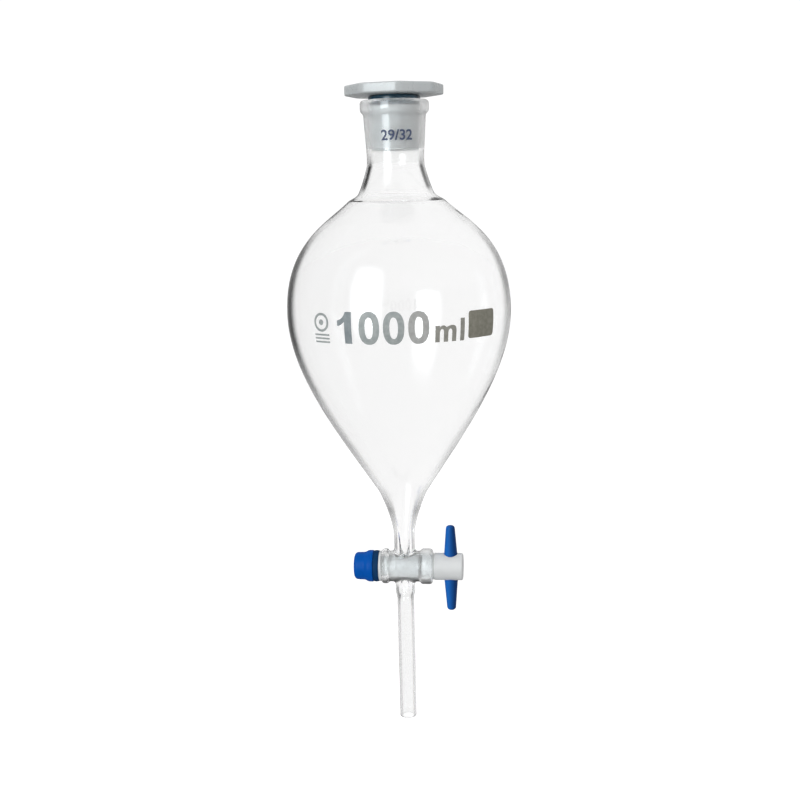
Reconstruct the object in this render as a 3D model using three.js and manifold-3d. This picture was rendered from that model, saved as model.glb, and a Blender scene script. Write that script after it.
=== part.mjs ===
// Pear-shaped separatory funnel with a PTFE stopcock and a hollow plastic stopper.
// Millimetres, +Z up. The funnel's axis is Z and the stopcock's axis lies along X.
// The origin is on the axis, where the lower cone rests in a 100 mm support ring.
import * as THREE from 'three';
import { mergeVertices } from 'three/addons/utils/BufferGeometryUtils.js';
import Module from 'manifold-3d';

const wasm = await Module();
wasm.setup();

// Heights of the glass, top to bottom
const RIM_Z = 159;
const GRIND_TOP_Z = 157.2;
const GRIND_LENGTH = 32;
const NECK_SEAL_Z = 110;
const SHOULDER_Z = 105.2;
const BELLY_Z = 44.6;
const CONE_END_Z = -58;
const LOWER_SEAL_Z = -74;
const COCK_Z = -104.4;
const STEM_SEAL_Z = -125;
const TIP_Z = -196;

// Ground socket 29/32: 29.2 mm wide at the gauge plane, taper 1 in 10 on diameter
const GRIND_TOP_R = 14.6;
const GRIND_TAPER = 1 / 20;
const MOUTH_R = 15.5;
const RIM_FLAT_R = 17.3;
const RIM_EDGE = 1.8;
const BEAD_R = 18.9;
const BEAD_LENGTH = 4.7;
const BEAD_FOOT = 8.3;
const SOCKET_TOP_R = 17.15;
const NECK_R = 15.8;
const NECK_TOP_Z = 130;
const NECK_SEAL_R = 20.5;
const NECK_WALL = 2.4;

// Bulb
const BELLY_R = 62.5;
const SHOULDER_R = 26.6;
const SHOULDER_ANGLE = THREE.MathUtils.degToRad(44);
const CONE_END_R = 14.45;
const CONE_SLOPE = 0.657;
const THROAT_R = 6;
const THROAT_Z = -84.5;
const BULB_WALL = 2;

// Handles of the glass's curved outlines: [radius, height], or a length along the outline
const NECK_HANDLES = [[15.8, 124], [18.5, 114]];
const NECK_BORE_HANDLES = [[16.6, 114], [13, 120]];
const LEDGE_HANDLES = [[21.6, 107.2], [24.2, 106.9]];
const SHOULDER_HANDLE = 16;
const BELLY_HANDLE_UP = 39;
const BELLY_HANDLE_DOWN = 32.8;
const CONE_HANDLE = 36.4;
const CONE_END_HANDLE = 3.6;
const THROAT_HANDLE = 6.5;

// Stopcock barrel, lying along X
const BARREL_R = 8.9;
const BARREL_HEAD_X = 16.25;
const BARREL_TAIL_X = -13.3;
const HEAD_BEAD_R = 10.3;
const HEAD_BEAD_X = 9.4;
const TAIL_BEAD_R = 10.1;
const TAIL_BEAD_X = -9.6;
const BEAD_EDGE = 1.4;
const BEAD_FLARE = 1;
const END_FACE_R = 9.1;
const FLOW_R = 2;

// Side tubes of the barrel, in heights from its axis
const TUBE_FOOT = 7.6;
const LOWER_COLLAR_R = 5.7;
const LOWER_COLLAR_END = -13.5;
const LOWER_COLLAR_HANDLE = 3;
const UPPER_BORE_END = 11;
const UPPER_BORE_HANDLES = [[4.3, 25.4], [2, 21.4]];
const LOWER_BORE_START = -10.5;
const LOWER_BORE_HANDLES = [[2, -14], [3.55, -13]];

// Stem
const STEM_R = 4.8;
const STEM_BORE_R = 3.55;
const TIP_EDGE = 0.25;

// Key: a plug with a taper of 1 in 10 on diameter
const PLUG_GAUGE_X = 14;
const PLUG_GAUGE_R = 7.25;
const PLUG_TAPER = 1 / 20;
const RUNNING_GAP = 0.1;
const PLUG_TAIL_X = -12.9;
const PLUG_EDGE = 0.5;
const KEY_HEAD_R = 7.85;
const KEY_HEAD_X = 17.2;
const KEY_HEAD_EDGE = 0.3;
const KEY_END_X = 33.75;
const KEY_END_EDGE = 1;
const TAIL_R = 4.5;
const TAIL_START_X = -14.5;
const TAIL_END_X = -27;
const TAIL_TIP = 0.6;
const TAIL_TIP_R = 3.1;
const O_RING_X = 9.6;
const O_RING_SECTION_R = 0.75;
const GROOVE_DEPTH = 1.6;
const GROOVE_HALF = 1;

// Lever through the key's head, its middle a little below the key's axis
const LEVER_X = 26.7;
const LEVER_DROP = 0.7;
const LEVER_R = 3.95;
const LEVER_TIP_R = 2.5;
const LEVER_TIP_EDGE = 1;
const LEVER_HALF = 25.2;
const LEVER_HOLE_R = 4.2;

// Knuckle thread of the tail and the nut, right-handed
const THREAD_PITCH = 2.5;
const THREAD_DEPTH = 0.4;
const THREAD_ROWS = 5;
const THREAD_GAP = 0.35;

// Washer, tension ring and nut on the tail
const STACK_GAP = 0.05;
const WASHER_R = 8.8;
const WASHER_THICKNESS = 1.4;
const WASHER_EDGE = 0.25;
const TENSION_R = 9.1;
const TENSION_THICKNESS = 3.35;
const TENSION_EDGE = 0.4;
const TAIL_HOLE_R = 5.3;
const NUT_R = 8;
const NUT_COLLAR_R = 9.15;
const NUT_COLLAR_EDGE = 0.3;
const NUT_COLLAR_X = -21.2;
const NUT_FLARE_X = -22.6;
const NUT_KNOB_X = -23.8;
const NUT_END_X = -29.4;
const NUT_END_EDGE = 1.6;
const NUT_BLIND_X = -27.6;
const NUT_BLIND_R = 3.85;

// Stopper: hollow cone under an octagonal head
const HEAD_TOP_Z = 167.1;
const HEAD_THICKNESS = 5.5;
const HEAD_CORNER_R = 27.6;
const HEAD_CORNER_BLEND = 2.2;
const HEAD_EDGE = 0.9;
const HEAD_TURN = THREE.MathUtils.degToRad(11);
const HEAD_SIDES = 8;
const CONE_TOP_Z = 155.9;
const CONE_TIP_Z = 132.2;
const CONE_TIP_EDGE = 0.6;
const STOPPER_WALL = 1.5;
const HOLLOW_MOUTH_R = 11.3;
const HOLLOW_STEP_Z = 144.2;
const HOLLOW_TOP_Z = 163.2;
const RING_R = 14.25;
const RING_EDGE = 0.4;
const RING_SEAT_R = 12.6;
const RING_GAP_BELOW = 0.2;

// Segments round a wide piece and a slim one, steps of a rounded edge, extra length of a cutter
const ROUND = 48;
const SMALL_ROUND = 24;
const ARC_STEPS = 3;
const PAST = 1;

const glass = { color: 0xe9eff2, roughness: 0.04, metalness: 0 };
const polyethylene = { color: 0xc6ced1, roughness: 0.45, metalness: 0 };
const ringPlastic = { color: 0x1d4258, roughness: 0.2, metalness: 0 };
const ptfe = { color: 0xeceeee, roughness: 0.5, metalness: 0 };
const bluePlastic = { color: 0x0a57b4, roughness: 0.35, metalness: 0 };
const rubber = { color: 0x12213a, roughness: 0.6, metalness: 0 };
const silicone = { color: 0xcdd0cf, roughness: 0.5, metalness: 0 };

const funnel = new THREE.Group();

function addPiece(name, geometry, look, x = 0, z = 0) {
  const piece = new THREE.Mesh(geometry, new THREE.MeshStandardMaterial(look));
  piece.name = name;
  piece.position.set(x, 0, z);
  funnel.add(piece);
}

// ---- profiles: Vector2(radius, height along the axis) ----

const at = (radius, along) => new THREE.Vector2(radius, along);

function curve(start, handleA, handleB, end, steps) {
  return new THREE.CubicBezierCurve(start, handleA, handleB, end).getPoints(steps);
}

// A curve whose two handles come as [radius, height] pairs
function namedCurve(start, handles, end, steps) {
  return curve(start, at(...handles[0]), at(...handles[1]), end, steps);
}

// A quarter round from one point to the next, bulging towards the corner
function rounded(start, corner, end, steps = ARC_STEPS) {
  return new THREE.QuadraticBezierCurve(start, corner, end).getPoints(steps);
}

function withoutRepeats(points) {
  const same = (a, b) => a.distanceTo(b) < 1e-6;
  return points.filter((point, i) => i === 0 || !same(point, points[i - 1]));
}

// The inside of a wall: every point of the outside moved inwards along its normal.
// The end points move level, so that the end faces stay flat.
function innerSide(outside, wallAt) {
  return outside.map((point, i) => {
    const before = outside[Math.max(i - 1, 0)];
    const after = outside[Math.min(i + 1, outside.length - 1)];
    const along = after.clone().sub(before).normalize();
    const wall = wallAt(point);
    const isEnd = i === 0 || i === outside.length - 1;
    return isEnd ? at(point.x - wall, point.y) : at(point.x + along.y * wall, point.y - along.x * wall);
  });
}

// ---- solids ----

// Turns a profile about Y. A profile that doesn't start and end on the axis is closed on itself.
function revolve(profile, segments) {
  const points = withoutRepeats(profile);
  const onAxis = points[0].x === 0 && points[points.length - 1].x === 0;
  if (THREE.ShapeUtils.area(points) < 0) {
    points.reverse();
  }
  if (!onAxis) {
    points.push(points[0].clone());
  }
  const geometry = new THREE.LatheGeometry(points, segments);
  geometry.deleteAttribute('normal');
  geometry.deleteAttribute('uv');
  return geometry;
}

const upright = (profile, segments = ROUND) => revolve(profile, segments).rotateX(Math.PI / 2);
const lying = (profile, segments = SMALL_ROUND) => revolve(profile, segments).rotateZ(-Math.PI / 2);

function toSolid(geometry) {
  const bare = geometry.clone();
  bare.deleteAttribute('normal');
  bare.deleteAttribute('uv');
  const merged = mergeVertices(bare, 1e-4);
  const index = Array.from(merged.index.array);
  const triangles = [];
  for (let i = 0; i < index.length; i += 3) {
    const [a, b, c] = index.slice(i, i + 3);
    if (a !== b && b !== c && c !== a) {
      triangles.push(a, b, c);
    }
  }
  const vertProperties = new Float32Array(merged.attributes.position.array);
  const triVerts = new Uint32Array(triangles);
  return new wasm.Manifold(new wasm.Mesh({ numProp: 3, vertProperties, triVerts }));
}

function toGeometry(solid) {
  const mesh = solid.getMesh();
  const geometry = new THREE.BufferGeometry();
  geometry.setAttribute('position', new THREE.BufferAttribute(new Float32Array(mesh.vertProperties), 3));
  geometry.setIndex(Array.from(mesh.triVerts));
  return geometry;
}

// A plain round bar along Z, for holes
function bar(radius, lowZ, highZ, x = 0) {
  const outline = [at(0, lowZ), at(radius, lowZ), at(radius, highZ), at(0, highZ)];
  return toSolid(upright(outline, SMALL_ROUND).translate(x, 0, 0));
}

// Waves the straight wall of a lathe about Y into a thread between two heights.
// Over the pitch next to each run-out end the ridges sink back into the piece: a screw's
// to its root (side -1), and a nut's to its widest (side 1).
function cutThread(geometry, meanR, lowY, highY, side, runOutLow, runOutHigh) {
  const position = geometry.attributes.position;
  for (let i = 0; i < position.count; i += 1) {
    const x = position.getX(i);
    const y = position.getY(i);
    const z = position.getZ(i);
    const radius = Math.hypot(x, z);
    const inThread = Math.abs(radius - meanR) < 1e-3 && y > lowY - 1e-3 && y < highY + 1e-3;
    if (inThread) {
      const low = runOutLow ? Math.min((y - lowY) / THREAD_PITCH, 1) : 1;
      const high = runOutHigh ? Math.min((highY - y) / THREAD_PITCH, 1) : 1;
      const phase = (2 * Math.PI * y) / THREAD_PITCH - Math.atan2(x, z);
      const ridge = Math.cos(phase) - side;
      const grown = (meanR + THREAD_DEPTH * (side + low * high * ridge)) / radius;
      position.setX(i, x * grown);
      position.setZ(i, z * grown);
    }
  }
  return geometry;
}

function threadRows(radius, fromY, toY) {
  const count = Math.round((Math.abs(toY - fromY) / THREAD_PITCH) * THREAD_ROWS);
  const rowY = (i) => THREE.MathUtils.lerp(fromY, toY, i / count);
  return Array.from({ length: count + 1 }, (_, i) => at(radius, rowY(i)));
}

const grindR = (z) => GRIND_TOP_R - (GRIND_TOP_Z - z) * GRIND_TAPER;
const plugR = (x) => PLUG_GAUGE_R + (x - PLUG_GAUGE_X) * PLUG_TAPER;

// ---- glass ----

// Bead rim, ground bore and flared neck, down to the seal on the bulb
function groundSocket() {
  const grindEndZ = GRIND_TOP_Z - GRIND_LENGTH;
  const beadCornerZ = RIM_Z - (BEAD_LENGTH + BEAD_FOOT) / 2;
  const sealInside = at(NECK_SEAL_R - NECK_WALL, NECK_SEAL_Z);
  const outside = [
    ...rounded(at(RIM_FLAT_R, RIM_Z), at(BEAD_R, RIM_Z), at(BEAD_R, RIM_Z - RIM_EDGE)),
    ...rounded(at(BEAD_R, RIM_Z - BEAD_LENGTH), at(BEAD_R, beadCornerZ), at(SOCKET_TOP_R, RIM_Z - BEAD_FOOT)),
    ...namedCurve(at(NECK_R, NECK_TOP_Z), NECK_HANDLES, at(NECK_SEAL_R, NECK_SEAL_Z), 7),
  ];
  const inside = [
    ...namedCurve(sealInside, NECK_BORE_HANDLES, at(grindR(grindEndZ), grindEndZ), 6),
    at(GRIND_TOP_R, GRIND_TOP_Z),
    at(MOUTH_R, RIM_Z),
  ];
  return upright([...outside, ...inside]);
}

// Ledge of the upper seal, round belly, long lower cone, throat down to the lower seal
function bulb() {
  const shoulder = at(SHOULDER_R, SHOULDER_Z);
  const belly = at(BELLY_R, BELLY_Z);
  const shoulderHandle = at(
    SHOULDER_R + SHOULDER_HANDLE * Math.cos(SHOULDER_ANGLE),
    SHOULDER_Z - SHOULDER_HANDLE * Math.sin(SHOULDER_ANGLE),
  );
  const coneHandle = at(CONE_END_R + CONE_HANDLE * CONE_SLOPE, CONE_END_Z + CONE_HANDLE);
  const coneEnd = at(CONE_END_R, CONE_END_Z);
  const outside = withoutRepeats([
    ...namedCurve(at(NECK_SEAL_R, NECK_SEAL_Z), LEDGE_HANDLES, shoulder, 3),
    ...curve(shoulder, shoulderHandle, at(BELLY_R, BELLY_Z + BELLY_HANDLE_UP), belly, 9),
    ...curve(belly, at(BELLY_R, BELLY_Z - BELLY_HANDLE_DOWN), coneHandle, coneEnd, 9),
    ...throatOutline().filter((point) => point.y > LOWER_SEAL_Z),
    sealPoint(),
  ]);
  const thickenFromZ = SHOULDER_Z - 12;
  const wallAt = (point) => {
    const nearNeck = THREE.MathUtils.smoothstep(point.y, thickenFromZ, NECK_SEAL_Z);
    return THREE.MathUtils.lerp(BULB_WALL, NECK_WALL, nearNeck);
  };
  return upright([...outside, ...innerSide(outside, wallAt).reverse()]);
}

// The concave outline from the end of the cone to the narrow throat
function throatOutline() {
  const coneEndHandle = at(CONE_END_R - CONE_END_HANDLE * CONE_SLOPE, CONE_END_Z - CONE_END_HANDLE);
  const throatHandle = at(THROAT_R, THROAT_Z + THROAT_HANDLE);
  return curve(at(CONE_END_R, CONE_END_Z), coneEndHandle, throatHandle, at(THROAT_R, THROAT_Z), 6);
}

// Where the throat's outline crosses the lower seal
function sealPoint() {
  const outline = throatOutline();
  const below = outline.findIndex((point) => point.y <= LOWER_SEAL_Z);
  const low = outline[below];
  const high = outline[below - 1];
  const share = (LOWER_SEAL_Z - low.y) / (high.y - low.y);
  return at(THREE.MathUtils.lerp(low.x, high.x, share), LOWER_SEAL_Z);
}

// Barrel along X with a bead at each mouth, and its two side tubes along Z
function stopcockBarrel() {
  const shell = toSolid(lying(barrelOutline()));
  const sealR = sealPoint().x;
  const topZ = LOWER_SEAL_Z - COCK_Z;
  const footZ = STEM_SEAL_Z - COCK_Z;
  const lowerThroat = throatOutline()
    .filter((point) => point.y < LOWER_SEAL_Z)
    .map((point) => at(point.x, point.y - COCK_Z));
  const upperTube = [
    at(0, topZ),
    at(sealR, topZ),
    ...lowerThroat,
    at(THROAT_R, TUBE_FOOT),
    at(0, TUBE_FOOT),
  ];
  const handleZ = LOWER_COLLAR_END - LOWER_COLLAR_HANDLE;
  const lowerTube = [
    at(0, -TUBE_FOOT),
    at(LOWER_COLLAR_R, -TUBE_FOOT),
    ...namedCurve(
      at(LOWER_COLLAR_R, LOWER_COLLAR_END),
      [[LOWER_COLLAR_R, handleZ], [STEM_R, handleZ]],
      at(STEM_R, footZ),
      4,
    ),
    at(0, footZ),
  ];
  const upperBore = [
    at(0, topZ + PAST),
    at(sealR - BULB_WALL, topZ + PAST),
    ...namedCurve(at(sealR - BULB_WALL, topZ), UPPER_BORE_HANDLES, at(FLOW_R, UPPER_BORE_END), 6),
    at(FLOW_R, 0),
    at(0, 0),
  ];
  const lowerBore = [
    at(0, 0),
    at(FLOW_R, 0),
    ...namedCurve(at(FLOW_R, LOWER_BORE_START), LOWER_BORE_HANDLES, at(STEM_BORE_R, footZ), 5),
    at(STEM_BORE_R, footZ - PAST),
    at(0, footZ - PAST),
  ];
  const tailX = BARREL_TAIL_X - PAST;
  const headX = BARREL_HEAD_X + PAST;
  const plugBore = toSolid(lying([
    at(0, tailX),
    at(plugR(tailX) + RUNNING_GAP, tailX),
    at(plugR(headX) + RUNNING_GAP, headX),
    at(0, headX),
  ]));
  const tube = (outline) => toSolid(upright(outline, SMALL_ROUND));
  const outer = shell.add(tube(upperTube)).add(tube(lowerTube));
  return toGeometry(outer.subtract(tube(upperBore)).subtract(tube(lowerBore)).subtract(plugBore));
}

// The barrel's outside from its nut end to its lever end
function barrelOutline() {
  const tailX = BARREL_TAIL_X;
  const headX = BARREL_HEAD_X;
  return [
    at(0, tailX),
    ...rounded(at(END_FACE_R, tailX), at(TAIL_BEAD_R, tailX), at(TAIL_BEAD_R, tailX + BEAD_EDGE)),
    ...rounded(
      at(TAIL_BEAD_R, TAIL_BEAD_X - BEAD_EDGE),
      at(TAIL_BEAD_R, TAIL_BEAD_X),
      at(BARREL_R, TAIL_BEAD_X + BEAD_FLARE),
    ),
    ...rounded(
      at(BARREL_R, HEAD_BEAD_X - BEAD_FLARE),
      at(HEAD_BEAD_R, HEAD_BEAD_X),
      at(HEAD_BEAD_R, HEAD_BEAD_X + BEAD_EDGE),
    ),
    ...rounded(at(HEAD_BEAD_R, headX - BEAD_EDGE), at(HEAD_BEAD_R, headX), at(END_FACE_R, headX)),
    at(0, headX),
  ];
}

// Straight delivery tube with a fire-polished tip
function stem() {
  return upright([
    at(STEM_R, STEM_SEAL_Z),
    at(STEM_R, TIP_Z + TIP_EDGE),
    at(STEM_R - TIP_EDGE, TIP_Z),
    at(STEM_BORE_R + TIP_EDGE, TIP_Z),
    at(STEM_BORE_R, TIP_Z + TIP_EDGE),
    at(STEM_BORE_R, STEM_SEAL_Z),
  ], SMALL_ROUND);
}

// ---- stopper ----

function octagon() {
  const corners = Array.from({ length: HEAD_SIDES }, (_, i) => {
    const angle = HEAD_TURN - Math.PI / 2 + (i * 2 * Math.PI) / HEAD_SIDES;
    return at(HEAD_CORNER_R * Math.cos(angle), HEAD_CORNER_R * Math.sin(angle));
  });
  const outline = new THREE.Shape();
  corners.forEach((corner, i) => {
    const before = corners[(i + HEAD_SIDES - 1) % HEAD_SIDES];
    const after = corners[(i + 1) % HEAD_SIDES];
    const start = corner.clone().add(before.clone().sub(corner).setLength(HEAD_CORNER_BLEND));
    const end = corner.clone().add(after.clone().sub(corner).setLength(HEAD_CORNER_BLEND));
    if (i === 0) {
      outline.moveTo(start.x, start.y);
    } else {
      outline.lineTo(start.x, start.y);
    }
    outline.quadraticCurveTo(corner.x, corner.y, end.x, end.y);
  });
  outline.closePath();
  return outline;
}

// Octagonal head and hollow tapered plug in one moulding, open at the bottom,
// with a groove under the head for the coloured ring
function stopper() {
  const undersideZ = HEAD_TOP_Z - HEAD_THICKNESS;
  const head = toSolid(new THREE.ExtrudeGeometry(octagon(), {
    depth: HEAD_THICKNESS - 2 * HEAD_EDGE,
    bevelEnabled: true,
    bevelThickness: HEAD_EDGE,
    bevelSize: HEAD_EDGE,
    bevelOffset: -HEAD_EDGE,
    bevelSegments: 2,
    curveSegments: 3,
  }).translate(0, 0, undersideZ + HEAD_EDGE));
  const coneR = (z) => grindR(z) - RUNNING_GAP;
  const plug = toSolid(upright([
    at(0, undersideZ + PAST),
    at(RING_SEAT_R, undersideZ + PAST),
    at(RING_SEAT_R, CONE_TOP_Z),
    at(coneR(CONE_TOP_Z), CONE_TOP_Z),
    at(coneR(CONE_TIP_Z + CONE_TIP_EDGE), CONE_TIP_Z + CONE_TIP_EDGE),
    at(coneR(CONE_TIP_Z) - CONE_TIP_EDGE, CONE_TIP_Z),
    at(0, CONE_TIP_Z),
  ]));
  const hollow = toSolid(upright([
    at(0, HOLLOW_TOP_Z),
    at(RING_SEAT_R - STOPPER_WALL, HOLLOW_TOP_Z),
    at(RING_SEAT_R - STOPPER_WALL, HOLLOW_STEP_Z),
    at(HOLLOW_MOUTH_R, CONE_TIP_Z - PAST),
    at(0, CONE_TIP_Z - PAST),
  ]));
  return toGeometry(head.add(plug).subtract(hollow));
}

function stopperRing() {
  const topZ = HEAD_TOP_Z - HEAD_THICKNESS - RUNNING_GAP;
  const bottomZ = CONE_TOP_Z + RING_GAP_BELOW;
  return upright([
    at(RING_SEAT_R + RUNNING_GAP, bottomZ),
    at(RING_R - RING_EDGE, bottomZ),
    at(RING_R, bottomZ + RING_EDGE),
    at(RING_R, topZ - RING_EDGE),
    at(RING_R - RING_EDGE, topZ),
    at(RING_SEAT_R + RUNNING_GAP, topZ),
  ]);
}

// ---- key, lever and the pieces on the tail ----

function groove(x) {
  const floorR = plugR(x) - GROOVE_DEPTH;
  const lowX = x - GROOVE_HALF;
  const highX = x + GROOVE_HALF;
  return [at(plugR(lowX), lowX), at(floorR, lowX), at(floorR, highX), at(plugR(highX), highX)];
}

// Tapered plug with two ring grooves and the flow bore, round head, threaded tail
function key() {
  const rowHeight = THREAD_PITCH / THREAD_ROWS;
  const threadRowCount = Math.floor((TAIL_START_X - TAIL_END_X) / rowHeight);
  const threadEndX = TAIL_START_X - threadRowCount * rowHeight;
  const tipX = TAIL_END_X - TAIL_TIP;
  const edgeX = PLUG_TAIL_X + PLUG_EDGE;
  const turned = revolve([
    at(0, tipX),
    at(TAIL_TIP_R, tipX),
    ...threadRows(TAIL_R, threadEndX, TAIL_START_X),
    at(TAIL_R, PLUG_TAIL_X - PLUG_EDGE),
    at(plugR(PLUG_TAIL_X) - PLUG_EDGE, PLUG_TAIL_X),
    at(plugR(edgeX), edgeX),
    ...groove(-O_RING_X),
    ...groove(O_RING_X),
    at(plugR(BARREL_HEAD_X), BARREL_HEAD_X),
    at(plugR(BARREL_HEAD_X), KEY_HEAD_X),
    at(KEY_HEAD_R - KEY_HEAD_EDGE, KEY_HEAD_X),
    at(KEY_HEAD_R, KEY_HEAD_X + KEY_HEAD_EDGE),
    ...rounded(
      at(KEY_HEAD_R, KEY_END_X - KEY_END_EDGE),
      at(KEY_HEAD_R, KEY_END_X),
      at(KEY_HEAD_R - KEY_END_EDGE, KEY_END_X),
    ),
    at(0, KEY_END_X),
  ], SMALL_ROUND);
  const threaded = cutThread(turned, TAIL_R, threadEndX, TAIL_START_X, -1, true, true);
  const solid = toSolid(threaded.rotateZ(-Math.PI / 2));
  const reach = KEY_HEAD_R + PAST;
  const flowHole = bar(FLOW_R, -reach, reach);
  const leverHole = bar(LEVER_HOLE_R, -reach, reach, LEVER_X);
  return toGeometry(solid.subtract(flowHole).subtract(leverHole));
}

// Straight through the head, then tapering to a rounded tip at each end
function lever() {
  const half = [
    at(LEVER_R, KEY_HEAD_R - LEVER_TIP_EDGE),
    ...rounded(
      at(LEVER_TIP_R, LEVER_HALF - LEVER_TIP_EDGE),
      at(LEVER_TIP_R, LEVER_HALF),
      at(LEVER_TIP_R - LEVER_TIP_EDGE, LEVER_HALF),
    ),
    at(0, LEVER_HALF),
  ];
  const mirrored = half.map((point) => at(point.x, -point.y)).reverse();
  return upright([...mirrored, ...half], SMALL_ROUND);
}

// A ring of round section in the groove at x
function oRing(x) {
  const centreR = plugR(x) - O_RING_SECTION_R;
  const sides = 8;
  const section = Array.from({ length: sides }, (_, i) => {
    const angle = (i * 2 * Math.PI) / sides;
    return at(centreR + O_RING_SECTION_R * Math.cos(angle), x + O_RING_SECTION_R * Math.sin(angle));
  });
  return lying(section);
}

function flatRing(innerR, outerR, thickness, edge) {
  return lying([
    at(innerR, 0),
    at(innerR, -thickness),
    at(outerR - edge, -thickness),
    at(outerR, -thickness + edge),
    at(outerR, -edge),
    at(outerR - edge, 0),
  ]);
}

// Cap nut: rounded knob, flare and collar, with a blind threaded hole
function nut(faceX) {
  const boreR = TAIL_R + THREAD_GAP;
  const rowHeight = THREAD_PITCH / THREAD_ROWS;
  const threadRowCount = Math.floor((faceX - NUT_BLIND_X) / rowHeight);
  const threadEndX = faceX - threadRowCount * rowHeight;
  const turned = revolve([
    at(0, NUT_BLIND_X - NUT_COLLAR_EDGE),
    at(NUT_BLIND_R, NUT_BLIND_X - NUT_COLLAR_EDGE),
    ...threadRows(boreR, threadEndX, faceX),
    at(NUT_COLLAR_R - NUT_COLLAR_EDGE, faceX),
    at(NUT_COLLAR_R, faceX - NUT_COLLAR_EDGE),
    ...rounded(at(NUT_COLLAR_R, NUT_COLLAR_X), at(NUT_R, NUT_FLARE_X), at(NUT_R, NUT_KNOB_X)),
    ...rounded(
      at(NUT_R, NUT_END_X + NUT_END_EDGE),
      at(NUT_R, NUT_END_X),
      at(NUT_R - NUT_END_EDGE, NUT_END_X),
    ),
    at(0, NUT_END_X),
  ], SMALL_ROUND);
  return cutThread(turned, boreR, threadEndX, faceX, 1, true, false).rotateZ(-Math.PI / 2);
}

const washerX = BARREL_TAIL_X - STACK_GAP;
const tensionX = washerX - WASHER_THICKNESS - STACK_GAP;
const nutFaceX = tensionX - TENSION_THICKNESS - STACK_GAP;

const washer = flatRing(TAIL_HOLE_R, WASHER_R, WASHER_THICKNESS, WASHER_EDGE);
const tensionRing = flatRing(TAIL_HOLE_R, TENSION_R, TENSION_THICKNESS, TENSION_EDGE);

addPiece('ground_socket', groundSocket(), glass);
addPiece('bulb', bulb(), glass);
addPiece('stopcock_barrel', stopcockBarrel(), glass, 0, COCK_Z);
addPiece('stem', stem(), glass);
addPiece('stopper', stopper(), polyethylene);
addPiece('stopper_ring', stopperRing(), ringPlastic);
addPiece('key', key(), ptfe, 0, COCK_Z);
addPiece('lever', lever(), bluePlastic, LEVER_X, COCK_Z - LEVER_DROP);
addPiece('key_o_ring_head', oRing(O_RING_X), silicone, 0, COCK_Z);
addPiece('key_o_ring_tail', oRing(-O_RING_X), silicone, 0, COCK_Z);
addPiece('thrust_washer', washer, ptfe, washerX, COCK_Z);
addPiece('tension_ring', tensionRing, rubber, tensionX, COCK_Z);
addPiece('nut', nut(nutFaceX), bluePlastic, 0, COCK_Z);

export default funnel;
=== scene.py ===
"""Looks of a pear-shaped separatory funnel: clear glass, PTFE stopcock, plastic stopper and
enamel print. Lengths are in millimetres until a mesh, a material or a lamp takes them."""
import math

import bmesh
import bpy
import numpy as np
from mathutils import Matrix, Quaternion, Vector


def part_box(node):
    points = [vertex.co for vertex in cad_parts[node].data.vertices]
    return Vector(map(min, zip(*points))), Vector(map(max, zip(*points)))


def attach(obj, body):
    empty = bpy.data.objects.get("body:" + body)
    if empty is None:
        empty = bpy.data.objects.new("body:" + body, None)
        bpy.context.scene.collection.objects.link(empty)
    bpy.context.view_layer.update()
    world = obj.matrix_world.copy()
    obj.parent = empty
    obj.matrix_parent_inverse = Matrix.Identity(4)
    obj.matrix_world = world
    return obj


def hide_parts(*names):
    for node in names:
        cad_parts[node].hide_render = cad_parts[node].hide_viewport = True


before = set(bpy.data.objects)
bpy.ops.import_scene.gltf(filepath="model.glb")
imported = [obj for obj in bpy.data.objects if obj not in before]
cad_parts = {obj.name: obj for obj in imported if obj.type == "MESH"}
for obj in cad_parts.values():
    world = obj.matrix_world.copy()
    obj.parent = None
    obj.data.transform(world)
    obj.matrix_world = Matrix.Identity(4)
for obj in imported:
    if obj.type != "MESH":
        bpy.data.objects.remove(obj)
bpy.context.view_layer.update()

MM = 0.001


# ---------- sizes in millimetres, from the frame where it shows them ----------

def box(node):
    low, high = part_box(node)
    return low / MM, high / MM


socket_low, socket_high = box("ground_socket")
_, bulb_high = box("bulb")
barrel_low, barrel_high = box("stopcock_barrel")
stem_low, stem_high = box("stem")
stopper_low, stopper_high = box("stopper")
ring_low, ring_high = box("stopper_ring")
key_low, key_high = box("key")
lever_low, lever_high = box("lever")
washer_low, washer_high = box("thrust_washer")
tension_low, tension_high = box("tension_ring")
nut_low, nut_high = box("nut")

COCK_Z = (key_low.z + key_high.z) / 2

# Socket and neck
RIM_Z = socket_high.z
NECK_SEAL_Z = socket_low.z
NECK_SEAL_R = socket_high.x
BEAD_R = 18.9
BARREL_TOP_R = 17.15
NECK_R = 15.8
NECK_WALL = 2.4
GRIND_TOP_Z = RIM_Z - 1.8
GRIND_LENGTH = 32.0
GRIND_TOP_R = 14.6
GRIND_TAPER = 1 / 20
BORE_END_Z = GRIND_TOP_Z - GRIND_LENGTH

# Bulb
BELLY_R = bulb_high.x
BELLY_Z = 44.6
SHOULDER_R = 26.6
SHOULDER_Z = 105.2
SHOULDER_ANGLE = math.radians(44)
CONE_END_R = 14.45
CONE_END_Z = -58.0
CONE_SLOPE = 0.657
THROAT_R = 6.0
THROAT_Z = -84.5
BULB_WALL = 2.0

# Stopcock barrel, in heights from its own axis
BARREL_R = 8.9
PATCH_X = 8.4
HEAD_X = barrel_high.x
TAIL_X = barrel_low.x
HEAD_BEAD_R = barrel_high.y
TAIL_BEAD_R = 10.1
FLOW_R = 2.0
SEAL_FILLET = 2.0
COLLAR_R = 5.7

# Stem
STEM_R = stem_high.x
STEM_BORE_R = 3.55
TIP_Z = stem_low.z

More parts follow.
